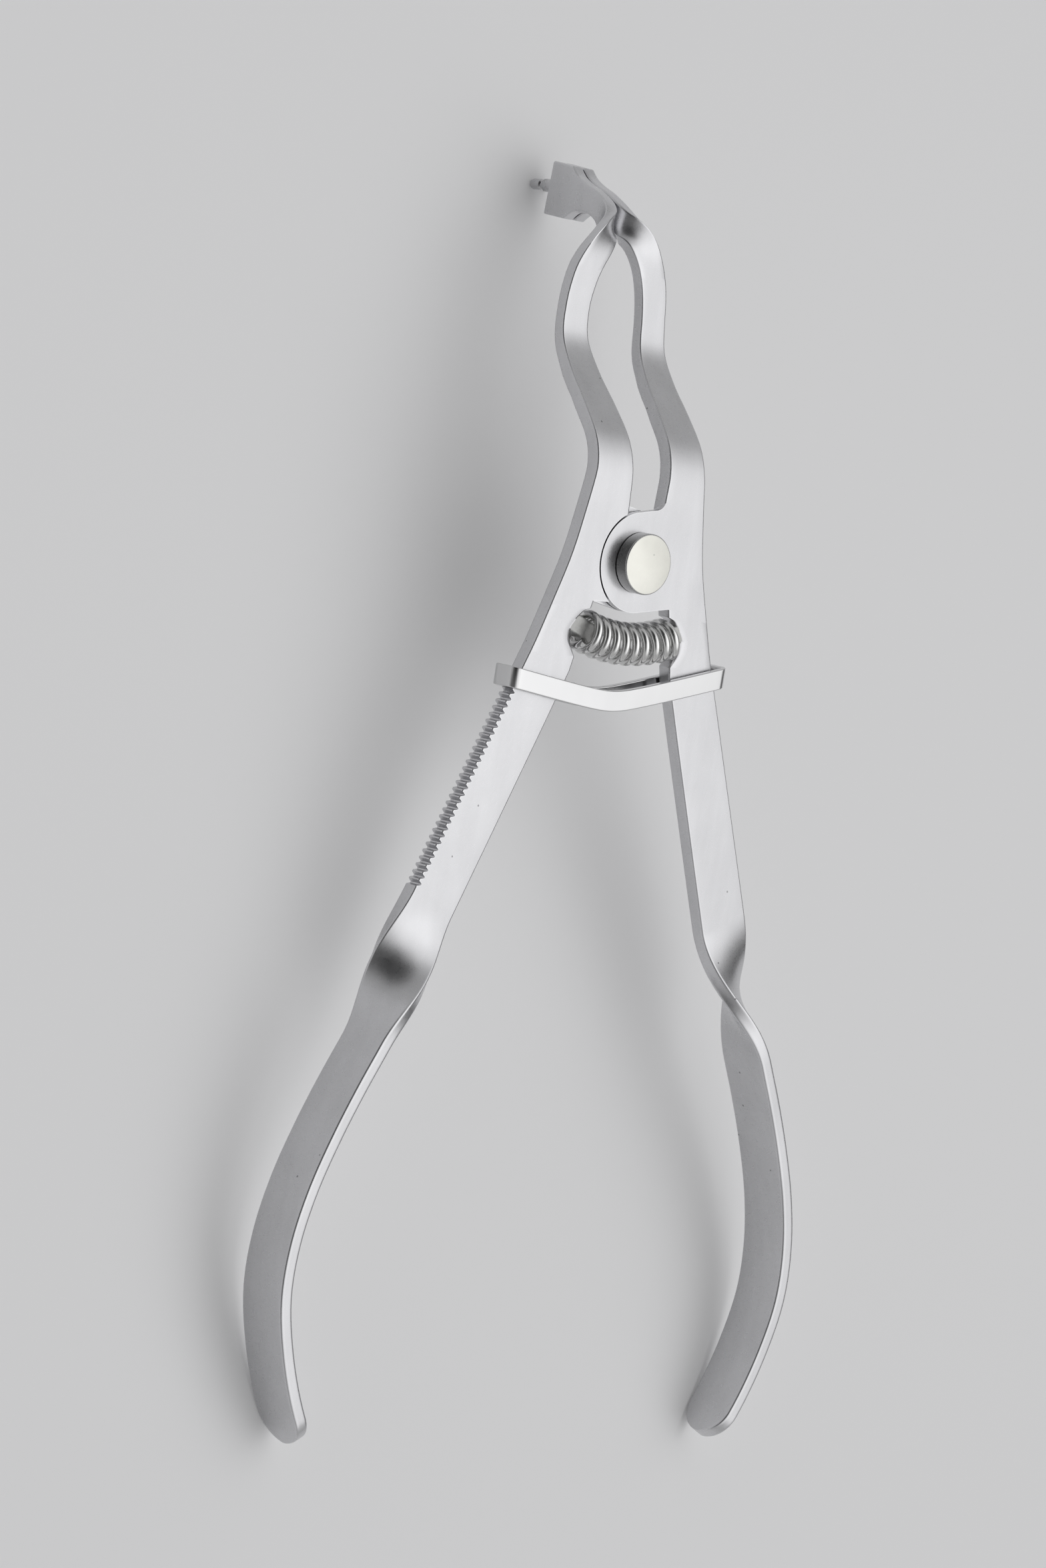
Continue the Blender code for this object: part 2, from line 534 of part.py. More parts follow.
def main():
    for old in list(bpy.data.objects):
        bpy.data.objects.remove(old)
    pieces = bpy.data.collections.new("rubber_dam_clamp_forceps")
    cutters = bpy.data.collections.new("cutters")
    for collection in (pieces, cutters):
        bpy.context.scene.collection.children.link(collection)
    instrument = bpy.data.objects.new("instrument", None)
    pieces.objects.link(instrument)
    lay_down(instrument)
    bpy.context.view_layer.update()

    satin = steel("satin_steel", (0.72, 0.72, 0.73), 0.35)
    bright = steel("bright_steel", (0.76, 0.76, 0.77), 0.2)
    head = steel("pin_steel", (0.8, 0.79, 0.75), 0.4)
    wire = steel("spring_steel", (0.62, 0.62, 0.63), 0.15)
    built = [(build_arm("left_arm", LEFT, pieces, cutters, instrument), satin),
             (build_arm("right_arm", RIGHT, pieces, cutters, instrument), satin),
             (build_pivot_pin(pieces, instrument), head),
             (build_spring(pieces, instrument), wire),
             (build_locking_ring(pieces, instrument), bright)]
    for piece, material in built:
        piece.data.materials.clear()
        piece.data.materials.append(material)
        piece.data.shade_smooth()
        piece.data.set_sharp_from_angle(angle=SHARP_ANGLE)


main()
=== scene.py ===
"""Looks of the rubber dam clamp forceps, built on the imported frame.

Shapes are drawn in millimetres in the instrument's own axes: X across it, Y towards the beaks, Z out
of its front face, with the origin on the pivot's axis at that face. The left arm's hinge in the frame
says where those axes lie, so every piece comes out in the frame's own place.
"""
import json
from bisect import bisect_right
from math import asin, atan, ceil, cos, hypot, pi, radians, sin, sqrt

import bmesh
import bpy
from mathutils import Matrix, Vector


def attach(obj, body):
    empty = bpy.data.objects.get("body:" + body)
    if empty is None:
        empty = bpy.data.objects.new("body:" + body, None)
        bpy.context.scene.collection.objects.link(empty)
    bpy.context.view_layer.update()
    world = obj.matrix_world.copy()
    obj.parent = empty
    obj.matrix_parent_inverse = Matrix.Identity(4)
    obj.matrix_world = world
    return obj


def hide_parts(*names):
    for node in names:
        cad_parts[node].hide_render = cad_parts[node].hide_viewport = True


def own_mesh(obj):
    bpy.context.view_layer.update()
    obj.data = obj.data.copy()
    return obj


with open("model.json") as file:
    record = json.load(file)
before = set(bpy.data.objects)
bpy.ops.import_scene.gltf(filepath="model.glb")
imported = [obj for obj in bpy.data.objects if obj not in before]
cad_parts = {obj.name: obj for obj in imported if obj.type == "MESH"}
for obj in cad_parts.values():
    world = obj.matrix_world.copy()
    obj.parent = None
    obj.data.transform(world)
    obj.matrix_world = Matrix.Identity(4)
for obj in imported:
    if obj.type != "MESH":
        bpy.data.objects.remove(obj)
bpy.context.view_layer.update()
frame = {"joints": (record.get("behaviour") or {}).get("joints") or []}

MM = 0.001
LEFT, RIGHT = -1, 1

# The photograph's camera, in the instrument's axes, and its focal length in photograph pixels
CAMERA_PLACE = Vector((-506.3, 21.5, 533.7))
CAMERA_RIGHT = Vector((0.73378, 0.15670, 0.66107))
CAMERA_UP = Vector((-0.06744, 0.98503, -0.15863))
FOCAL_PIXELS, PHOTO_HEIGHT = 8308.0, 2350.0

# Arms
PLATE_THICK = 2.2
EDGE_ROUND = 0.3
TWIST_TOP, TWIST_BOTTOM, TWIST_STEPS, TWIST_LEAD = -47.3, -66.0, 36, 7.0
SEAT_DISH = 0.9                 # how far the front edge is dished beside the spring
SIDE_COLUMNS = 5                # points between two corners of an arm's section
SLOPE_REACH, CUT_PAST, THIN_END_ROUND = 0.3, 1.0, 0.4
NECK_STEPS, CURVED_STEPS, SEAT_STEPS = 8, 50, 26
PLATE_STATIONS = [3.5, 2, 0.5, -1, -2.5, -4, -17, -19.5, -30, -40]   # more sections of the plate, along Y
SHARP_ANGLE, TURNED_SHARP_ANGLE = radians(32), radians(50)
FLAT_FACE_WEIGHT = 60

# Lap joint
LAP_RADIUS, LAP_RECESS, LAP_CLEARANCE = 6.74, 7.0, 0.1
LAP_SHOULDER_Y = -5.72
WEB_TOP_LEAN, WEB_BOTTOM_LEAN = radians(9.8), radians(8.9)
WEB_CORNERS = [(6.9, LAP_SHOULDER_Y + 0.05), (9.0, -2.0), (6.0, 8.45), (3.3, 8.45), (3.13, 8.05),
               (2.92, 7.72), (2.6, 7.45), (2.1, 7.23)]
LAP_FACETS, WEB_STEPS = 128, 96

# Pivot pin
PIN_RADIUS, PIN_HOLE, PIN_CLEARANCE = 1.9, 2.1, 0.15
PIN_FACETS, HOLE_FACETS = 128, 96
HEAD_RADIUS, HEAD_HEIGHT, HEAD_RIM, HEAD_RIM_STEPS = 4.08, 2.02, 0.25, 4
FACE_REACH = 0.02               # how far under the head's face its finish still reaches
MERGE_REACH = 0.0005
TAIL_PROFILE = [(3.2, 0.0), (3.1, 0.45), (2.95, 0.6), (2.6, 0.7), (0.0, 0.7)]

# Handles
HANDLE_WIDTH, HANDLE_THICK, HANDLE_ROUND = 8.0, 1.9, 0.4
HANDLE_Z = 0.45
HANDLE_TIP = 0.004              # how far short of the rounded end its last section lies
BOW_STEPS, END_STEPS = 40, 14
HANDLE_END = -118.48

# Tip pins
TIP_Y, TIP_END_Z = 48.0, -31.3
TIP_FACETS = 40
TIP_PROFILE = [(0.0, 6.75), (0.88, 6.75), (0.88, 2.65), (0.8, 2.52), (0.55, 2.4), (0.55, 2.05),
               (0.68, 1.92), (0.75, 1.85), (0.75, 0.4), (0.7, 0.22), (0.6, 0.08), (0.4, 0.0), (0.0, 0.0)]

# Ratchet teeth
TOOTH_FIRST_Y, TOOTH_PITCH, TOOTH_COUNT = -16.4, 1.008, 31
TOOTH_DEPTH, TOOTH_LAND, TOOTH_FLANK, TOOTH_FLOOR = 0.68, 0.16, 0.26, 0.17

# Coil spring and the pegs in its ends
COIL_RADIUS, WIRE_RADIUS = 2.375, 0.575
SPRING_TURNS, SPRING_END_TURNS, SPRING_END_PITCH = 9.3, 0.6, 0.65
SPRING_START = radians(-48)
SPRING_SAG_RADIUS, SPRING_LOW_Y, SPRING_Z, SPRING_HALF_SPAN = 24.0, -10.95, -0.75, 7.9
WIRE_STEPS, WIRE_ROUNDING = 56, 7
PEG_WIDTH, PEG_THICK, PEG_Z, PEG_ROUND = 2.7, 1.8, -0.95, 0.5
PEG_REGION, PEG_ROOT = (-13.0, -8.0), 0.2    # along Y where only a peg is, and how far off the arm's edge
PEG_STATIONS = [(10.4, 1.0), (6.2, 1.0), (5.9, 0.9), (5.75, 0.75)]

# Locking ring
RING_HEIGHT, RING_THICK, RING_END_THICK, RING_CLEARANCE = 2.8, 0.95, 0.75, 0.3
RING_LEFT, RING_RIGHT = -20.0, 18.7
RING_BEND, RING_INNER_BEND, RING_EDGE_ROUND = 1.4, 0.15, 0.2
RING_STEPS, RING_BEND_STEPS = 60, 10
RING_LOW_X, RING_LOW_Y, RING_V, RING_LEAN, RING_SOFTEN = -1.5, -18.6, 0.195, 0.07, 3.0

# Outlines of an arm: distance along Y, then height in Z or distance out from the middle
BEND_LINE = [(38, -12.03), (35, -12.0), (32, -11.9), (28, -11.22), (24, -8.5), (20, -4.8), (16, -1.55),
             (12, -0.1), (9.5, 0.0), (8.5, 0.0)]
THICKNESS = [(38, 1.85), (34, 1.8), (30, 1.75), (22, 1.95), (12, PLATE_THICK)]
OUTER_EDGE = [(40, 7.05), (38, 8.1), (35, 8.9), (32, 9.25), (26, 9.5), (19, 9.75), (12, 9.95), (6, 10.9),
              (0, 12.15), (-6, 14.1), (-13, 16.6), (-16, 17.86), (-30, 23.71), (TWIST_TOP, 30.94)]
INNER_EDGE = [(40, 2.15), (38, 3.3), (34, 4.55), (30, 4.85), (25, 4.4), (19, 3.85), (12, 3.35), (5, 3.0)]
SEAT_EDGE = [(-6.75, 7.13), (-7.0, 7.9), (-7.6, 8.6), (-8.8, 9.25), (-10.4, 9.6), (-11.6, 9.6),
             (-12.5, 9.25), (-13.4, 8.72)]
INNER_STEPS = [(5, 3.0), (LAP_SHOULDER_Y + 0.1, 3.0), (LAP_SHOULDER_Y, 6.85), SEAT_EDGE[0], SEAT_EDGE[-1],
               (-15.3, 9.15), (-24, 12.65), (TWIST_TOP, 22.2)]
ARM_SLOPE = (OUTER_EDGE[-1][1] - OUTER_EDGE[-3][1]) / (OUTER_EDGE[-3][0] - OUTER_EDGE[-1][0])
HANDLE_EDGE = [(-60, 33.2), (-66, 36.0), (-71, 38.55), (-78, 41.7), (-85, 44.23), (-92, 45.71),
               (-99, 45.81), (-106, 44.17), (-113, 41.4), (HANDLE_END, 38.4)]
# The beak, down from its end to the arm: the middle of the bar (u, y, z), the degrees it has bent back
# and turned on edge, its width and its thickness
BEAK_END = (1.075, 47.73, -26.975, 86.5, 90, 7.27, 1.85)
BEAK_NECK = [(1.075, 47.375, -23.125, 87.2, 90, 7.16, 1.85),
             (1.075, 47.25, -21.75, 86.6, 90, 5.01, 1.85),
             (1.075, 46.95, -20.15, 82.7, 90, 3.93, 1.85),
             (1.075, 46.425, -18.15, 74.5, 90, 3.37, 1.85),
             (1.13, 45.4, -16.2, 65.0, 89, 3.31, 1.85),
             (1.61, 44.15, -14.8, 55.0, 75, 3.6, 1.95),
             (2.53, 42.9, -13.85, 40.0, 40, 4.3, 2.0),
             (3.55, 41.6, -13.25, 23.0, 14, 4.8, 1.95),
             (4.62, 40.0, -13.0, 8.0, 3, 4.92, 1.9),
             (5.7, 38.0, -12.95, 1.0, 0, 4.8, 1.85),
             (6.45, 35.8, -12.93, 0.0, 0, 4.65, 1.8)]

# The light tent in the frame's axes. Each part of it: degrees round from +X, degrees up, and how many
# degrees from there it is whole and gone.
PANEL = (-21, 42, 18, 83)
OPENING = (148, 50, 12, 42)
DIM_SIDE = (-160, 36, 8, 38)
GAP = (0, 12, 8, 32)
TENT_LEVEL, PANEL_LEVEL, OPENING_LEVEL, DIM_LEVEL, GAP_LEVEL = 0.46, 0.66, 0.1, 0.3, 0.2
PANEL_FOOT, PANEL_FULL = radians(20), radians(47)

# Fineness of the finishes' patterns, per metre. The streaks have one across the instrument, one along it
# and one in height.
STREAK_FINENESS = (420.0, 16.0, 420.0)
CLOUD_FINENESS, SPECK_FINENESS, SPECK_PATCH_FINENESS, BREAK_FINENESS = 160.0, 330.0, 70.0, 900.0
COARSE_GRAIN = 0.35             # the coarse grain's fineness beside the fine one's
SPECK_SIZE, SPECK_PATCH_FROM = 0.05, 0.56
EDGE_WHOLE, EDGE_GONE = 0.75, 0.99    # how alike an edge's own and its bevelled direction are
GRAIN_DEPTH = 0.02              # in millimetres
EDGE_GAIN = 0.12                # how much brighter a worn edge is
FLOOR_PALENESS = 0.1            # the share of plain white in the floor as it is seen

hinge = next(joint for joint in frame["joints"] if joint["name"] == "left_arm_hinge")
front_axis = Vector(hinge["axis"]).normalized()
across_axis = Vector((1, 0, 0))
LAY = Matrix((across_axis, front_axis.cross(across_axis), front_axis)).transposed().to_4x4()
LAY.translation = Vector(hinge["pos_m"])


def placed(point):
    """A point given in millimetres in the instrument's axes, in the frame's metres."""
    return LAY @ (Vector(point) * MM)


def turned_to(direction):
    """A direction given in the instrument's axes, in the frame's axes."""
    return LAY.to_3x3() @ Vector(direction)


def smooth(points):
    """A function through (position, value) points that bends evenly."""
    ups = sorted(points)
    xs = [p[0] for p in ups]
    ys = [p[1] for p in ups]
    slopes = [(ys[i + 1] - ys[i]) / (xs[i + 1] - xs[i]) for i in range(len(xs) - 1)]
    tangents = [slopes[0]]
    for i in range(1, len(slopes)):
        before, after = xs[i] - xs[i - 1], xs[i + 1] - xs[i]
        tangents.append((slopes[i - 1] * after + slopes[i] * before) / (before + after))
    tangents.append(slopes[-1])

    def value(x):
        i = min(max(bisect_right(xs, x) - 1, 0), len(slopes) - 1)
        step = xs[i + 1] - xs[i]
        t = (x - xs[i]) / step
        return ((1 + 2 * t) * (1 - t) ** 2 * ys[i] + t * (1 - t) ** 2 * step * tangents[i]
                + t * t * (3 - 2 * t) * ys[i + 1] + t * t * (t - 1) * step * tangents[i + 1])
    return value


def straight(points):
    """A function along straight runs between (position, value) points."""
    ups = sorted(points)

    def value(x):
        i = min(max(bisect_right([p[0] for p in ups], x) - 1, 0), len(ups) - 2)
        (x0, y0), (x1, y1) = ups[i], ups[i + 1]
        return y0 + (y1 - y0) * (x - x0) / (x1 - x0)
    return value


def ease(t):
    """A soft step from 0 to 1."""
    t = min(max(t, 0.0), 1.0)
    return t * t * (3 - 2 * t)


def piece_from(name, bm):
    """A piece from a bmesh whose points are in millimetres in the instrument's axes."""
    for vert in bm.verts:
        vert.co = placed(vert.co)
    bmesh.ops.recalc_face_normals(bm, faces=bm.faces)
    mesh = bpy.data.meshes.new(name)
    bm.to_mesh(mesh)
    bm.free()
    piece = bpy.data.objects.new(name, mesh)
    bpy.context.scene.collection.objects.link(piece)
    return piece


def combine(piece, tool_mesh, operation):
    """Join a tool's bmesh to a piece or cut it out of the piece, and leave the plain result."""
    tool = piece_from("tool", tool_mesh)
    modifier = piece.modifiers.new("combine", "BOOLEAN")
    modifier.operation = operation
    modifier.object = tool
    modifier.solver = "EXACT"
    replace_with_evaluated(piece)
    bpy.data.objects.remove(tool)


def replace_with_evaluated(piece):
    """Give a piece the mesh that its modifiers make, and clear them."""
    bpy.context.view_layer.update()
    mesh = bpy.data.meshes.new_from_object(piece.evaluated_get(bpy.context.evaluated_depsgraph_get()))
    piece.modifiers.clear()
    piece.data = mesh


def soften(piece, sharp_angle=SHARP_ANGLE):
    """Smooth shading that keeps the real edges and leaves flat faces flat."""
    piece.data.shade_smooth()
    piece.data.set_sharp_from_angle(angle=sharp_angle)
    modifier = piece.modifiers.new("flat_faces", "WEIGHTED_NORMAL")
    modifier.keep_sharp = True
    modifier.weight = FLAT_FACE_WEIGHT


def bevelled(corners, radii, columns=SIDE_COLUMNS):
    """A closed section: each corner is a soft arc of its own radius, with points along the straight
    sides between."""
    arcs = []
    for i, (corner, radius) in enumerate(zip(corners, radii)):
        back = (corners[i - 1] - corner).normalized() * radius
        ahead = (corners[(i + 1) % len(corners)] - corner).normalized() * radius
        arcs.append([corner + back * (1 - t) ** 2 + ahead * t * t for t in (0.0, 0.25, 0.5, 0.75, 1.0)])
    points = []
    for arc, following in zip(arcs, arcs[1:] + arcs[:1]):
        points += arc
        points += [arc[-1].lerp(following[0], k / (columns + 1)) for k in range(1, columns + 1)]
    return points


def loft(sections):
    """A closed bmesh through sections that all have the same number of points."""
    bm = bmesh.new()
    rings = [[bm.verts.new(point) for point in section] for section in sections]
    for ring, following in zip(rings, rings[1:]):
        for i in range(len(ring)):
            j = (i + 1) % len(ring)
            bm.faces.new((ring[i], ring[j], following[j], following[i]))
    bm.faces.new(rings[0])
    bm.faces.new(reversed(rings[-1]))
    return bm


def prism(outline, low, high):
    """An outline in X and Y, raised from low to high along Z."""
    bm = bmesh.new()
    bottom = bm.faces.new([bm.verts.new((x, y, low)) for x, y in outline])
    raised = bmesh.ops.extrude_face_region(bm, geom=[bottom])
    tops = [item for item in raised["geom"] if isinstance(item, bmesh.types.BMVert)]
    bmesh.ops.translate(bm, verts=tops, vec=(0, 0, high - low))
    return bm


def cylinder(radius, low, high, segments):
    """A closed round bar along Z on the pivot's axis."""
    bm = bmesh.new()
    bmesh.ops.create_cone(bm, cap_ends=True, segments=segments, radius1=radius, radius2=radius,
                          depth=high - low)
    bmesh.ops.translate(bm, verts=bm.verts, vec=(0, 0, (low + high) / 2))
    return bm


def turned(profile, segments):
    """A closed turned shape from a profile of (radius, z) points."""
    bm = bmesh.new()
    points = [bm.verts.new((radius, 0, z)) for radius, z in profile]
    edges = [bm.edges.new(pair) for pair in zip(points, points[1:])]
    bmesh.ops.spin(bm, geom=points + edges, cent=(0, 0, 0), axis=(0, 0, 1), angle=2 * pi, steps=segments)
    bmesh.ops.remove_doubles(bm, verts=bm.verts, dist=MERGE_REACH)
    return bm


def beak_sections(side):
    """The beak: the bar bends back and turns on edge, so that its front face meets the other arm."""
    columns = [smooth([(i, row[k]) for i, row in enumerate(BEAK_NECK)]) for k in range(len(BEAK_END))]
    count = (len(BEAK_NECK) - 2) * NECK_STEPS
    rows = [BEAK_END] + [[column(i / NECK_STEPS) for column in columns] for i in range(count)]
    for out_by, y, z, bend, turn, width, thick in rows:
        front = Vector((0, sin(radians(bend)), cos(radians(bend))))
        yield bar_section(side, Vector((out_by, y, z)), Vector((1, 0, 0)), front, radians(turn),
                          width / 2, thick / 2, EDGE_ROUND)


def bar_section(side, middle, out, front, turn, half_width, half_thick, radius):
    """A section of an arm whose outer edge has turned from outwards towards the front."""
    across = (out * cos(turn) + front * sin(turn)) * half_width
    face = (front * cos(turn) - out * sin(turn)) * half_thick
    corners = [middle - across + face, middle + across + face,
               middle + across - face, middle - across - face]
    return bevelled([Vector((side * x, y, z)) for x, y, z in corners], [radius] * 4)


def inner_edge(y):
    """How far out the arm's inner edge is: curved above the lap and in the spring's seat."""
    if y > INNER_STEPS[0][0]:
        return smooth(INNER_EDGE)(y)
    if SEAT_EDGE[-1][0] <= y <= SEAT_EDGE[0][0]:
        return smooth(SEAT_EDGE)(y)
    return straight(INNER_STEPS)(y)


def plate_sections(side):
    """The flat arm, bent back above the pivot, cut square across Y."""
    outer, thickness = smooth(OUTER_EDGE), smooth(THICKNESS)
    bend_top, bend_foot = BEND_LINE[0][0], INNER_STEPS[0][0]
    seat_top, seat_foot = SEAT_EDGE[0][0], SEAT_EDGE[-1][0]
    curved = [bend_top + (bend_foot - bend_top) * step / CURVED_STEPS for step in range(CURVED_STEPS + 1)]
    seat = [seat_top + (seat_foot - seat_top) * step / SEAT_STEPS for step in range(1, SEAT_STEPS)]
    lower = [y for y, _ in INNER_STEPS[1:-1]] + PLATE_STATIONS
    for y in sorted(curved + seat + lower, reverse=True):
        thick = thickness(y) if y > THICKNESS[-1][0] else PLATE_THICK
        front = bend_height(y)
        back = front - thick * hypot(1, slope_of(bend_height, y))
        yield bevelled([Vector((side * inner_edge(y), y, front)), Vector((side * outer(y), y, front)),
                        Vector((side * outer(y), y, back)), Vector((side * inner_edge(y), y, back))],
                       [EDGE_ROUND + seat_hollow(y), EDGE_ROUND, EDGE_ROUND, EDGE_ROUND])


def seat_hollow(y):
    """How much more round the front edge is where it is dished for the spring."""
    top, foot = SEAT_EDGE[0][0], SEAT_EDGE[-1][0]
    return SEAT_DISH * ease(1 - abs(2 * y - top - foot) / (top - foot))


def bend_height(y):
    """The height of the arm's front face at a place along it."""
    return smooth(BEND_LINE)(y) if y > BEND_LINE[-1][0] else 0.0


def handle_sections(side):
    """The twist, which turns the front face outwards, and the bowed handle below it, cut square
    across the arm's own run."""
    path = handle_path()
    top_half = (OUTER_EDGE[-1][1] - INNER_STEPS[-1][1]) / 2 / hypot(1, ARM_SLOPE)
    round_end = HANDLE_WIDTH / 2
    end_lean = hypot(1, slope_of(path, HANDLE_END))
    bow_foot = HANDLE_END + round_end / end_lean
    twisted = [TWIST_TOP + (TWIST_BOTTOM - TWIST_TOP) * step / TWIST_STEPS
               for step in range(TWIST_STEPS + 1)]
    bowed = [TWIST_BOTTOM + (bow_foot - TWIST_BOTTOM) * step / BOW_STEPS
             for step in range(1, BOW_STEPS + 1)]
    end_arc = [bow_foot - (bow_foot - HANDLE_END) * sin(pi / 2 * step / END_STEPS)
               for step in range(1, END_STEPS)]
    for y in twisted + bowed + end_arc + [HANDLE_END + HANDLE_TIP]:
        turn = ease((y - TWIST_TOP) / (TWIST_BOTTOM - TWIST_TOP))
        half_thick = (PLATE_THICK + (HANDLE_THICK - PLATE_THICK) * turn) / 2
        half_width = top_half + (HANDLE_WIDTH / 2 - top_half) * turn
        past = (bow_foot - y) * end_lean
        if past > 0:
            half_width = sqrt(round_end ** 2 - past ** 2)
        out = Vector((1, -slope_of(path, y), 0)).normalized()
        middle = Vector((path(y), y, -PLATE_THICK / 2 + (HANDLE_Z + PLATE_THICK / 2) * turn))
        edge_round = EDGE_ROUND + (HANDLE_ROUND - EDGE_ROUND) * turn
        yield bar_section(side, middle, out, Vector((0, 0, 1)), -turn * pi / 2, half_width, half_thick,
                          min(edge_round, half_width * THIN_END_ROUND))


def handle_path():
    """The middle of the arm seen from the front, from the end of the plate to the end of the handle."""
    edge = smooth(HANDLE_EDGE)
    plate_middle = (OUTER_EDGE[-1][1] + INNER_STEPS[-1][1]) / 2
    middles = [(TWIST_TOP + TWIST_LEAD, plate_middle - TWIST_LEAD * ARM_SLOPE), (TWIST_TOP, plate_middle)]
    for y in [y for y, _ in HANDLE_EDGE if y <= TWIST_BOTTOM]:
        middles.append((y, edge(y) - HANDLE_THICK / 2 * hypot(1, slope_of(edge, y))))
    return smooth(middles)


def slope_of(line, y):
    """How fast a line that is given as a function of Y runs outwards, or up, along Y."""
    return (line(y + SLOPE_REACH) - line(y - SLOPE_REACH)) / (2 * SLOPE_REACH)


def lap_layer(side):
    """The low and high side of an arm's own half of the lap: the left arm's is the back one."""
    middle = -PLATE_THICK / 2
    if side == LEFT:
        return -PLATE_THICK, middle - LAP_CLEARANCE
    return middle + LAP_CLEARANCE, 0.0


def lap_boss(side):
    """The round half-thick boss of the lap, with the web that runs from it into the arm."""
    low, high = lap_layer(side)
    start, end = pi / 2 + WEB_TOP_LEAN, 1.5 * pi + WEB_BOTTOM_LEAN
    angles = [start + (end - start) * i / WEB_STEPS for i in range(WEB_STEPS + 1)]
    outline = [(LAP_RADIUS * cos(angle), LAP_RADIUS * sin(angle)) for angle in angles]
    return prism([(side * u, y) for u, y in outline + WEB_CORNERS], low, high)


def lap_recess(side):
    """The round room that the other arm's boss turns in."""
    if side == LEFT:
        return cylinder(LAP_RECESS, lap_layer(side)[1], CUT_PAST, LAP_FACETS)
    return cylinder(LAP_RECESS, -PLATE_THICK - CUT_PAST, lap_layer(side)[0], LAP_FACETS)


def tooth_grooves():
    """The grooves that leave the ratchet's teeth, cut through the left arm's outer edge."""
    outer = straight(OUTER_EDGE)
    run = Vector((-ARM_SLOPE, -1)).normalized()
    inward = Vector((-run.y, run.x))
    bm = bmesh.new()
    for count in range(TOOTH_COUNT):
        start_y = TOOTH_FIRST_Y + run.y * TOOTH_PITCH * count
        start = Vector((-outer(start_y), start_y))
        profile = [(TOOTH_LAND, -CUT_PAST), (TOOTH_LAND, 0.0), (TOOTH_LAND + TOOTH_FLANK, TOOTH_DEPTH),
                   (TOOTH_LAND + TOOTH_FLANK + TOOTH_FLOOR, TOOTH_DEPTH), (TOOTH_PITCH, 0.0),
                   (TOOTH_PITCH, -CUT_PAST)]
        outline = [start + run * along + inward * depth for along, depth in profile]
        groove = prism(outline, -PLATE_THICK - CUT_PAST, CUT_PAST)
        mesh = bpy.data.meshes.new("groove")
        groove.to_mesh(mesh)
        groove.free()
        bm.from_mesh(mesh)
        bpy.data.meshes.remove(mesh)
    return bm


def spring_axis(angle, z):
    """A point and direction on the sagging line that the coils wind round."""
    centre_y = SPRING_LOW_Y + SPRING_SAG_RADIUS
    point = Vector((SPRING_SAG_RADIUS * sin(angle), centre_y - SPRING_SAG_RADIUS * cos(angle), z))
    return point, Vector((cos(angle), sin(angle), 0))


def spring_peg(side):
    """The short tongue in the middle of an arm's seat that holds the spring's end."""
    sections = []
    for x, size in PEG_STATIONS:
        point, along = spring_axis(asin(x / SPRING_SAG_RADIUS), PEG_Z)
        up = Vector((-along.y, along.x, 0)) * PEG_WIDTH / 2 * size
        out = Vector((0, 0, PEG_THICK / 2 * size))
        corners = [point + up + out, point - up + out, point - up - out, point + up - out]
        section = bevelled(corners, [PEG_ROUND * size] * 4, 1)
        sections.append([Vector((side * p.x, p.y, p.z)) for p in section])
    return loft(sections)


def tip_pin(side):
    """The grooved pin that enters the clamp's hole, turned round its own axis."""
    bm = turned([(radius, TIP_END_Z + height) for radius, height in TIP_PROFILE], TIP_FACETS)
    bmesh.ops.translate(bm, verts=bm.verts, vec=(side * BEAK_END[0], TIP_Y, 0))
    return bm


def arm(name, side):
    """One arm with its beak, lap, seat, twist and handle, and the left one's ratchet teeth."""
    sections = list(beak_sections(side)) + list(plate_sections(side)) + list(handle_sections(side))
    piece = piece_from(name, loft(sections))
    combine(piece, lap_recess(side), "DIFFERENCE")
    combine(piece, lap_boss(side), "UNION")
    combine(piece, spring_peg(side), "UNION")
    combine(piece, tip_pin(side), "UNION")
    combine(piece, cylinder(PIN_HOLE, -PLATE_THICK - CUT_PAST, CUT_PAST, HOLE_FACETS), "DIFFERENCE")
    if side == LEFT:
        combine(piece, tooth_grooves(), "DIFFERENCE")
    soften(piece)
    return piece


def pivot_pin():
    """The rivet: a raised round head in front, a low one behind."""
    back = -PLATE_THICK - PIN_CLEARANCE
    angles = [pi / 2 * step / HEAD_RIM_STEPS for step in range(HEAD_RIM_STEPS + 1)]
    rim = [(HEAD_RADIUS - HEAD_RIM + HEAD_RIM * sin(angle), HEAD_HEIGHT - HEAD_RIM + HEAD_RIM * cos(angle))
           for angle in angles]
    profile = [(0.0, HEAD_HEIGHT)] + rim
    profile += [(HEAD_RADIUS, PIN_CLEARANCE), (PIN_RADIUS, PIN_CLEARANCE), (PIN_RADIUS, back)]
    profile += [(radius, back - depth) for radius, depth in TAIL_PROFILE]
    piece = piece_from("pivot_pin_dressed", turned(profile, PIN_FACETS))
    soften(piece, TURNED_SHARP_ANGLE)
    return piece


def coil_part(turn):
    """The share of the spring's length that the wire has covered after some turns."""
    closed = min(turn, SPRING_END_TURNS) + max(turn - SPRING_TURNS + SPRING_END_TURNS, 0.0)
    whole = SPRING_TURNS - 2 * SPRING_END_TURNS * (1 - SPRING_END_PITCH)
    return (turn - closed * (1 - SPRING_END_PITCH)) / whole


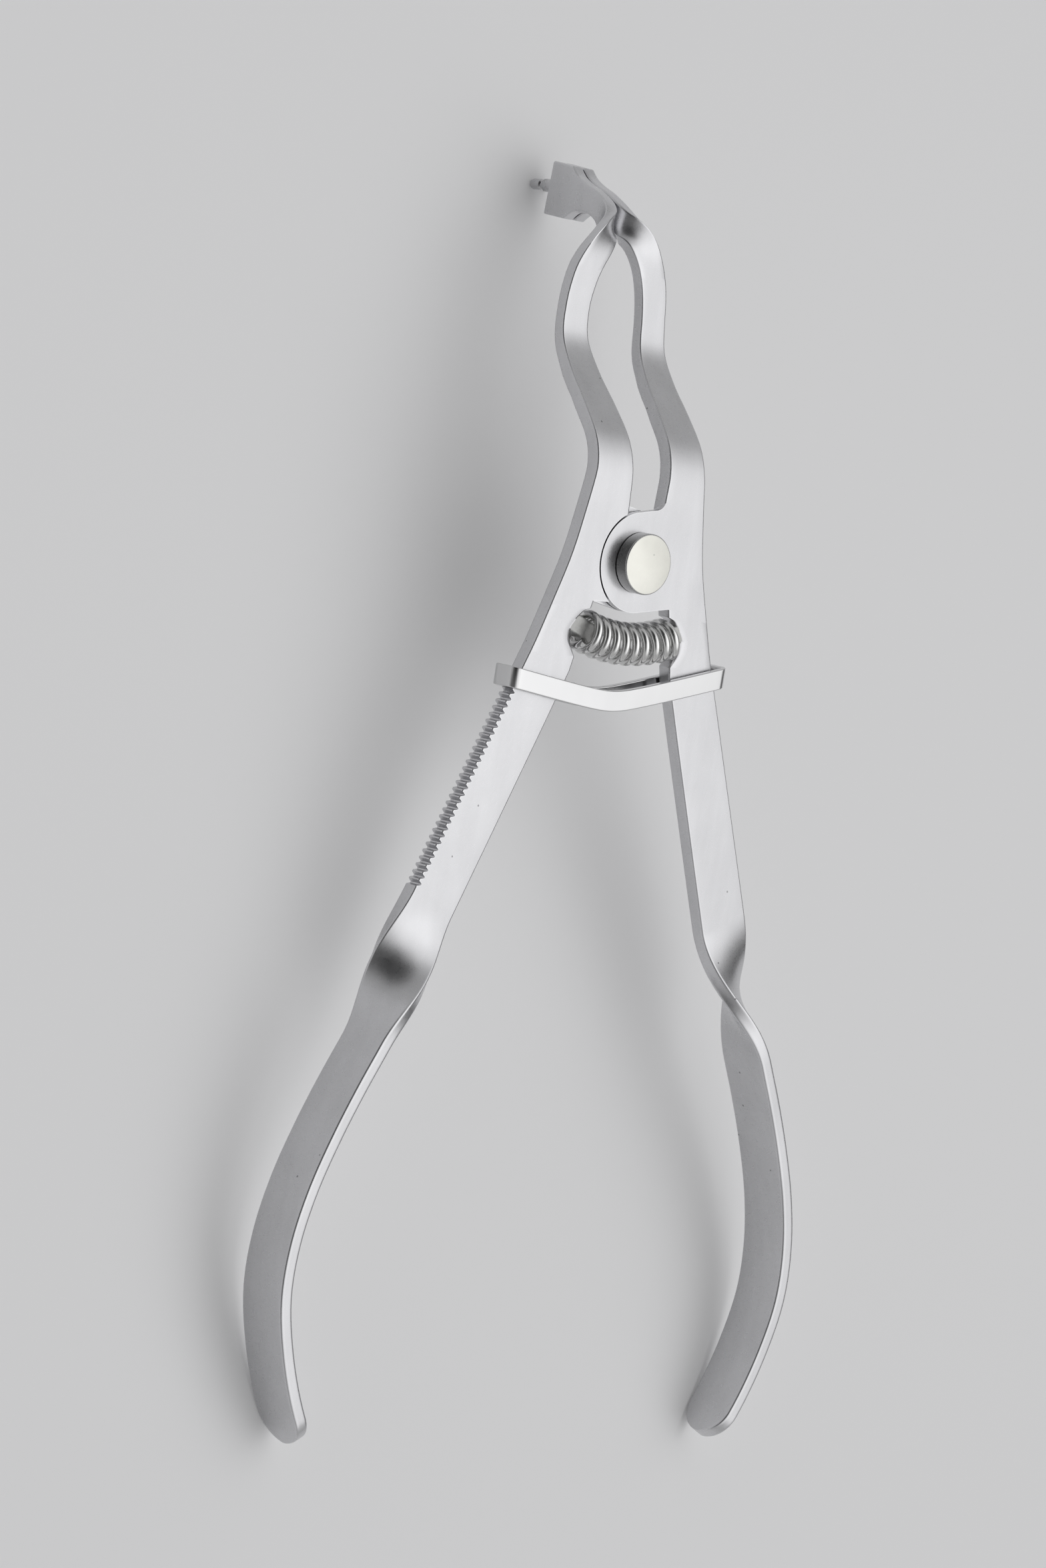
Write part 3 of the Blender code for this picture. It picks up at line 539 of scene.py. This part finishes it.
def coil_spring():
    """The coil spring, wound round its sagging axis."""
    half_angle = asin(SPRING_HALF_SPAN / SPRING_SAG_RADIUS)
    count = ceil(SPRING_TURNS * WIRE_STEPS)
    curve = bpy.data.curves.new("coil", "CURVE")
    curve.dimensions = "3D"
    curve.bevel_depth = WIRE_RADIUS * MM
    curve.bevel_resolution = WIRE_ROUNDING
    curve.use_fill_caps = True
    spline = curve.splines.new("POLY")
    spline.points.add(count)
    for i, spline_point in enumerate(spline.points):
        turn = SPRING_TURNS * i / count
        point, along = spring_axis(half_angle * (2 * coil_part(turn) - 1), SPRING_Z)
        down = Vector((along.y, -along.x, 0))
        round_angle = 2 * pi * turn + SPRING_START
        around = down * cos(round_angle) - Vector((0, 0, 1)) * sin(round_angle)
        spline_point.co = placed(point + around * COIL_RADIUS).to_4d()
    wire = bpy.data.objects.new("coil_wire", curve)
    bpy.context.scene.collection.objects.link(wire)
    bpy.context.view_layer.update()
    mesh = bpy.data.meshes.new_from_object(wire.evaluated_get(bpy.context.evaluated_depsgraph_get()))
    bpy.data.objects.remove(wire)
    piece = bpy.data.objects.new("spring_dressed", mesh)
    bpy.context.scene.collection.objects.link(piece)
    mesh.shade_smooth()
    mesh.set_sharp_from_angle(angle=TURNED_SHARP_ANGLE)
    return piece


def ring_level(x):
    """The height in Y of the ring's middle: a softened V that leans a little to one side."""
    away = x - RING_LOW_X
    return RING_LOW_Y + RING_V * (hypot(away, RING_SOFTEN) - RING_SOFTEN) + RING_LEAN * away


def ring_outline(in_face, in_end, radius):
    """The band's closed outline seen along Y, set in from its outer faces and from its ends."""
    depth = PLATE_THICK / 2 + RING_CLEARANCE + RING_THICK - in_face
    left, right = RING_LEFT + in_end + radius, RING_RIGHT - in_end - radius
    turns = [90 * step / RING_BEND_STEPS for step in range(RING_BEND_STEPS + 1)]
    corners = [[arc_point(x, z, radius, first - turn) for turn in turns]
               for x, z, first in ((right, depth - radius, 90), (right, radius - depth, 0),
                                   (left, radius - depth, -90), (left, depth - radius, -180))]
    front = [(left + (right - left) * step / RING_STEPS, depth) for step in range(1, RING_STEPS)]
    back = [(x, -depth) for x, _ in reversed(front)]
    return corners[0] + corners[1] + back + corners[2] + corners[3] + front


def arc_point(x, z, radius, degrees):
    """A point of an arc round (x, z)."""
    return x + radius * cos(radians(degrees)), z + radius * sin(radians(degrees))


def locking_ring():
    """The flat band that slides along the arms over the ratchet's teeth."""
    bm = bmesh.new()
    rings = []
    outer_line = ring_outline(0.0, 0.0, RING_BEND)
    inner_line = ring_outline(RING_THICK, RING_END_THICK, RING_INNER_BEND)
    for (outer_x, outer_z), (inner_x, inner_z) in zip(outer_line, inner_line):
        corners = []
        for x, z, rise in ((outer_x, outer_z, 0.5), (outer_x, outer_z, -0.5),
                           (inner_x, inner_z, -0.5), (inner_x, inner_z, 0.5)):
            corners.append(Vector((x, ring_level(x) + rise * RING_HEIGHT, z - PLATE_THICK / 2)))
        section = bevelled(corners, [RING_EDGE_ROUND] * 4, 1)
        rings.append([bm.verts.new(point) for point in section])
    for ring, following in zip(rings, rings[1:] + rings[:1]):
        for j in range(len(ring)):
            k = (j + 1) % len(ring)
            bm.faces.new((ring[j], ring[k], following[k], following[j]))
    piece = piece_from("locking_ring_dressed", bm)
    soften(piece, TURNED_SHARP_ANGLE)
    return piece


def new_group(name, inputs, outputs):
    """A shader node group with number inputs and the outputs named, and its two end nodes."""
    group = bpy.data.node_groups.new(name, "ShaderNodeTree")
    for label, default in inputs:
        socket = group.interface.new_socket(label, in_out="INPUT", socket_type="NodeSocketFloat")
        socket.default_value = default
    for label in outputs:
        group.interface.new_socket(label, in_out="OUTPUT", socket_type="NodeSocketFloat")
    return group, group.nodes.new("NodeGroupInput"), group.nodes.new("NodeGroupOutput")


def math_node(tree, operation, first, second):
    """A math node fed by sockets or numbers, and its output socket."""
    node = tree.nodes.new("ShaderNodeMath")
    node.operation = operation
    for socket, value in zip(node.inputs, (first, second)):
        if isinstance(value, (int, float)):
            socket.default_value = value
        else:
            tree.links.new(value, socket)
    return node.outputs[0]


def noise_node(tree, vector, scale, detail=3.0):
    """A noise texture over a vector, with its scale a number or a socket."""
    node = tree.nodes.new("ShaderNodeTexNoise")
    node.inputs["Detail"].default_value = detail
    tree.links.new(vector, node.inputs["Vector"])
    if isinstance(scale, (int, float)):
        node.inputs["Scale"].default_value = scale
    else:
        tree.links.new(scale, node.inputs["Scale"])
    return node.outputs["Fac"]


def scaled(tree, value, factor):
    """A value times a number or another value."""
    return math_node(tree, "MULTIPLY", value, factor)


def centred_noise(tree, vector, scale, detail):
    """Noise from about -0.5 to 0.5."""
    return math_node(tree, "SUBTRACT", noise_node(tree, vector, scale, detail), 0.5)


def blasted_grain_group():
    """The fine grain of bead-blasted steel: an even speckle in brightness, roughness and height."""
    group, given, result = new_group("blasted_grain", [("Grains per Metre", 7000.0), ("Roughness", 0.3),
                                                       ("Spread", 0.08), ("Speckle", 0.1)],
                                     ["Brightness", "Roughness", "Height"])
    place = group.nodes.new("ShaderNodeTexCoord").outputs["Object"]
    grain = centred_noise(group, place, given.outputs["Grains per Metre"], 2.0)
    coarse_fineness = scaled(group, given.outputs["Grains per Metre"], COARSE_GRAIN)
    coarse = centred_noise(group, place, coarse_fineness, 3.0)
    both = math_node(group, "ADD", grain, coarse)
    bright = math_node(group, "ADD", scaled(group, both, given.outputs["Speckle"]), 1.0)
    rough = scaled(group, both, given.outputs["Spread"])
    rough = math_node(group, "ADD", rough, given.outputs["Roughness"])
    group.links.new(bright, result.inputs["Brightness"])
    group.links.new(rough, result.inputs["Roughness"])
    group.links.new(both, result.inputs["Height"])
    return group


def handling_group():
    """What handling leaves on steel: faint clouds, long soft streaks and a few tiny dark specks."""
    inputs = [("Cloud", 0.05), ("Streaks", 0.05), ("Specks", 0.3)]
    group, given, result = new_group("handling_marks", inputs, ["Brightness"])
    place = group.nodes.new("ShaderNodeTexCoord").outputs["Object"]
    cloud = scaled(group, centred_noise(group, place, CLOUD_FINENESS, 4.0), given.outputs["Cloud"])
    stretch = group.nodes.new("ShaderNodeVectorMath")
    stretch.operation = "MULTIPLY"
    group.links.new(place, stretch.inputs[0])
    stretch.inputs[1].default_value = STREAK_FINENESS
    streaks = centred_noise(group, stretch.outputs["Vector"], 1.0, 2.0)
    streaks = scaled(group, streaks, given.outputs["Streaks"])
    cells = group.nodes.new("ShaderNodeTexVoronoi")
    cells.inputs["Scale"].default_value = SPECK_FINENESS
    group.links.new(place, cells.inputs["Vector"])
    speck = math_node(group, "LESS_THAN", cells.outputs["Distance"], SPECK_SIZE)
    patch = noise_node(group, place, SPECK_PATCH_FINENESS, 1.0)
    rare = math_node(group, "GREATER_THAN", patch, SPECK_PATCH_FROM)
    specks = scaled(group, math_node(group, "MULTIPLY", speck, rare), given.outputs["Specks"])
    bright = math_node(group, "ADD", math_node(group, "ADD", cloud, streaks), 1.0)
    group.links.new(math_node(group, "SUBTRACT", bright, specks), result.inputs["Brightness"])
    return group


def worn_edge_group():
    """Where use has polished an edge: 1 along it, broken up a little, and 0 on the faces."""
    group, given, result = new_group("worn_edges", [("Reach", 0.0003), ("Breaks", 0.6)], ["Mask"])
    bevel = group.nodes.new("ShaderNodeBevel")
    bevel.samples = 4
    group.links.new(given.outputs["Reach"], bevel.inputs["Radius"])
    facing = group.nodes.new("ShaderNodeVectorMath")
    facing.operation = "DOT_PRODUCT"
    group.links.new(bevel.outputs["Normal"], facing.inputs[0])
    group.links.new(group.nodes.new("ShaderNodeNewGeometry").outputs["Normal"], facing.inputs[1])
    edge = soft_step(group, facing.outputs["Value"], EDGE_WHOLE, EDGE_GONE, 1.0, 0.0)
    place = group.nodes.new("ShaderNodeTexCoord").outputs["Object"]
    breaks = scaled(group, noise_node(group, place, BREAK_FINENESS, 3.0), given.outputs["Breaks"])
    unbroken = math_node(group, "SUBTRACT", 1.0, breaks)
    group.links.new(math_node(group, "MULTIPLY", edge, unbroken), result.inputs["Mask"])
    return group


def add_group(tree, group, values):
    """A group placed in a material, with its own values."""
    node = tree.nodes.new("ShaderNodeGroup")
    node.node_tree = group
    for label, value in values.items():
        node.inputs[label].default_value = value
    return node


def steel(name, colour, finish):
    """A steel finish: its grain, its handling marks and the polish along its worn edges."""
    material = bpy.data.materials.new(name)
    material.use_nodes = True
    tree = material.node_tree
    shader = tree.nodes["Principled BSDF"]
    shader.inputs["Metallic"].default_value = 1.0
    grain = add_group(tree, groups["grain"], finish["grain"])
    marks = add_group(tree, groups["marks"], finish["marks"])
    edges = add_group(tree, groups["edges"], finish["edges"])
    bright = math_node(tree, "MULTIPLY", grain.outputs["Brightness"], marks.outputs["Brightness"])
    worn = math_node(tree, "ADD", scaled(tree, edges.outputs["Mask"], EDGE_GAIN), 1.0)
    bright = math_node(tree, "MULTIPLY", bright, worn)
    tint = tree.nodes.new("ShaderNodeMix")
    tint.data_type = "RGBA"
    tint.blend_type = "MULTIPLY"
    tint.inputs["Factor"].default_value = 1.0
    tint.inputs["A"].default_value = (*colour, 1.0)
    tree.links.new(bright, tint.inputs["B"])
    tree.links.new(tint.outputs["Result"], shader.inputs["Base Color"])
    polish = scaled(tree, edges.outputs["Mask"], finish["polish"])
    rough = math_node(tree, "SUBTRACT", grain.outputs["Roughness"], polish)
    tree.links.new(rough, shader.inputs["Roughness"])
    height = tree.nodes.new("ShaderNodeBump")
    height.inputs["Strength"].default_value = finish["bump"]
    height.inputs["Distance"].default_value = GRAIN_DEPTH * MM
    tree.links.new(grain.outputs["Height"], height.inputs["Height"])
    tree.links.new(height.outputs["Normal"], shader.inputs["Normal"])
    return material


def finish_of(roughness, spread, speckle, grains, bump, cloud, streaks, specks, polish):
    """The values of one finish, sorted for the groups that take them."""
    return {"grain": {"Roughness": roughness, "Spread": spread, "Speckle": speckle,
                      "Grains per Metre": grains},
            "marks": {"Cloud": cloud, "Streaks": streaks, "Specks": specks},
            "edges": {"Reach": EDGE_ROUND * MM}, "bump": bump, "polish": polish}


def dress(piece, node, body, slot_name, *materials):
    """Put a finished piece in a CAD node's place, on its body, with its materials."""
    piece.data.materials.clear()
    for material in materials:
        piece.data.materials.append(material)
    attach(piece, body)
    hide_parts(node)


def give_second_finish(piece, chosen):
    """The faces whose middle, in the instrument's axes, passes a test take the second material."""
    to_instrument = LAY.inverted()
    for polygon in piece.data.polygons:
        place = to_instrument @ polygon.center / MM
        polygon.material_index = 1 if chosen(place) else 0


def on_the_head(place):
    """Whether a place is on the face of the pivot's head."""
    return place.z > HEAD_HEIGHT - FACE_REACH


def on_a_peg(place):
    """Whether a place is on one of the spring's pegs."""
    return PEG_REGION[0] < place.y < PEG_REGION[1] and abs(place.x) < inner_edge(place.y) - PEG_ROOT


def studio_floor():
    """A plain pale floor, which the camera and the steel see a little paler than it is lit."""
    bpy.ops.mesh.primitive_plane_add(size=6.0)
    floor = bpy.context.object
    floor.name = "floor"
    material = bpy.data.materials.new("pale_floor")
    material.use_nodes = True
    tree = material.node_tree
    shader = tree.nodes["Principled BSDF"]
    shader.inputs["Base Color"].default_value = (0.86, 0.86, 0.87, 1.0)
    shader.inputs["Roughness"].default_value = 0.9
    path = tree.nodes.new("ShaderNodeLightPath")
    seen = math_node(tree, "MAXIMUM", path.outputs["Is Camera Ray"], path.outputs["Is Glossy Ray"])
    seen = math_node(tree, "MAXIMUM", seen, path.outputs["Is Transmission Ray"])
    pale = tree.nodes.new("ShaderNodeEmission")
    mix = tree.nodes.new("ShaderNodeMixShader")
    tree.links.new(math_node(tree, "MULTIPLY", seen, FLOOR_PALENESS), mix.inputs[0])
    tree.links.new(shader.outputs[0], mix.inputs[1])
    tree.links.new(pale.outputs[0], mix.inputs[2])
    tree.links.new(mix.outputs[0], tree.nodes["Material Output"].inputs["Surface"])
    floor.data.materials.append(material)


def studio_world():
    """A light tent: a bright panel on the right, a dim gap under it, and a dark opening on the left."""
    world = bpy.data.worlds.new("light_tent")
    world.use_nodes = True
    bpy.context.scene.world = world
    tree = world.node_tree
    look = tree.nodes.new("ShaderNodeTexCoord").outputs["Generated"]
    up = along(tree, look, (0, 0, 1))
    height = soft_step(tree, up, sin(PANEL_FOOT), sin(PANEL_FULL), 0.0, PANEL_LEVEL)
    panel = math_node(tree, "MULTIPLY", height, tent_part(tree, look, PANEL, 0.0, 1.0))
    tent = math_node(tree, "ADD", panel, TENT_LEVEL)
    for part, level in ((OPENING, OPENING_LEVEL), (DIM_SIDE, DIM_LEVEL), (GAP, GAP_LEVEL)):
        tent = math_node(tree, "MULTIPLY", tent, tent_part(tree, look, part, 1.0, level))
    tree.links.new(tent, tree.nodes["Background"].inputs["Color"])


def tent_part(tree, look, part, outside, inside):
    """A round part of the tent that fades from one level outside it to another inside."""
    around, up, core, edge = (radians(angle) for angle in part)
    middle = (cos(up) * cos(around), cos(up) * sin(around), sin(up))
    return soft_step(tree, along(tree, look, middle), cos(edge), cos(core), outside, inside)


def along(tree, look, direction):
    """How far a direction of sight points along another one, from -1 to 1."""
    dot = tree.nodes.new("ShaderNodeVectorMath")
    dot.operation = "DOT_PRODUCT"
    tree.links.new(look, dot.inputs[0])
    dot.inputs[1].default_value = direction
    return dot.outputs["Value"]


def soft_step(tree, value, low, high, below, above):
    """A soft change from one level to another while a value goes from low to high."""
    step = tree.nodes.new("ShaderNodeMapRange")
    step.interpolation_type = "SMOOTHSTEP"
    tree.links.new(value, step.inputs["Value"])
    step.inputs["From Min"].default_value = low
    step.inputs["From Max"].default_value = high
    step.inputs["To Min"].default_value = below
    step.inputs["To Max"].default_value = above
    return step.outputs["Result"]


def softbox(name, place, size, power):
    """A square soft light that looks at the instrument's middle from a place in metres."""
    light = bpy.data.lights.new(name, "AREA")
    light.size = size
    light.energy = power
    lamp = bpy.data.objects.new(name, light)
    bpy.context.scene.collection.objects.link(lamp)
    lamp.location = place
    lamp.rotation_euler = lamp.location.to_track_quat("Z", "Y").to_euler()


def photo_camera():
    """The camera at the photograph's place and angle."""
    camera = bpy.data.cameras.new("photo_camera")
    camera.sensor_fit = "VERTICAL"
    camera.angle = 2 * atan(PHOTO_HEIGHT / 2 / FOCAL_PIXELS)
    camera.clip_start = 0.01
    holder = bpy.data.objects.new("photo_camera", camera)
    bpy.context.scene.collection.objects.link(holder)
    right, up = turned_to(CAMERA_RIGHT), turned_to(CAMERA_UP)
    turn = Matrix((right, up, right.cross(up))).transposed()
    holder.matrix_world = Matrix.Translation(placed(CAMERA_PLACE)) @ turn.to_4x4()
    bpy.context.scene.camera = holder


groups = {"grain": blasted_grain_group(), "marks": handling_group(), "edges": worn_edge_group()}
satin = steel("blasted_steel", (0.62, 0.62, 0.635),
              finish_of(roughness=0.29, spread=0.08, speckle=0.05, grains=5000.0, bump=0.12, cloud=0.12,
                        streaks=0.14, specks=0.5, polish=0.2))
sanded = steel("sanded_peg", (0.5, 0.5, 0.49),
               finish_of(roughness=0.5, spread=0.2, speckle=0.35, grains=5000.0, bump=0.8, cloud=0.1,
                         streaks=0.0, specks=0.0, polish=0.1))
band = steel("burnished_band", (0.64, 0.64, 0.645),
             finish_of(roughness=0.16, spread=0.06, speckle=0.03, grains=4000.0, bump=0.06, cloud=0.06,
                       streaks=0.05, specks=0.25, polish=0.08))
pin_side = steel("turned_steel", (0.52, 0.52, 0.52),
                 finish_of(roughness=0.28, spread=0.08, speckle=0.05, grains=5000.0, bump=0.06, cloud=0.05,
                           streaks=0.0, specks=0.1, polish=0.04))
pin_face = steel("frosted_face", (0.85, 0.845, 0.79),
                 finish_of(roughness=0.5, spread=0.1, speckle=0.06, grains=4500.0, bump=0.15, cloud=0.3,
                           streaks=0.0, specks=0.3, polish=0.1))
wire = steel("polished_wire", (0.74, 0.74, 0.735),
             finish_of(roughness=0.13, spread=0.06, speckle=0.04, grains=6000.0, bump=0.05, cloud=0.12,
                       streaks=0.0, specks=0.2, polish=0.0))

for name, side, body in (("left_arm", LEFT, "left"), ("right_arm", RIGHT, "right")):
    dressed = arm(name + "_dressed", side)
    dress(dressed, name, body, "arms", satin, sanded)
    give_second_finish(dressed, on_a_peg)
pin = pivot_pin()
dress(pin, "pivot_pin", "pivot", "pin", pin_side, pin_face)
give_second_finish(pin, on_the_head)
dress(locking_ring(), "locking_ring", "ring", "ring", band)
spring = coil_spring()
dress(spring, "spring", "pivot", "spring", wire)
spring_middle, _ = spring_axis(0.0, SPRING_Z)
tuple(placed(spring_middle))
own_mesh(spring)

studio_floor()
studio_world()
softbox("key_softbox", (0.88, -0.25, 0.92), 1.5, 0.8)
softbox("top_softbox", (0.05, 0.02, 0.29), 0.3, 0.06)
photo_camera()
bpy.context.scene.view_settings.view_transform = "Standard"
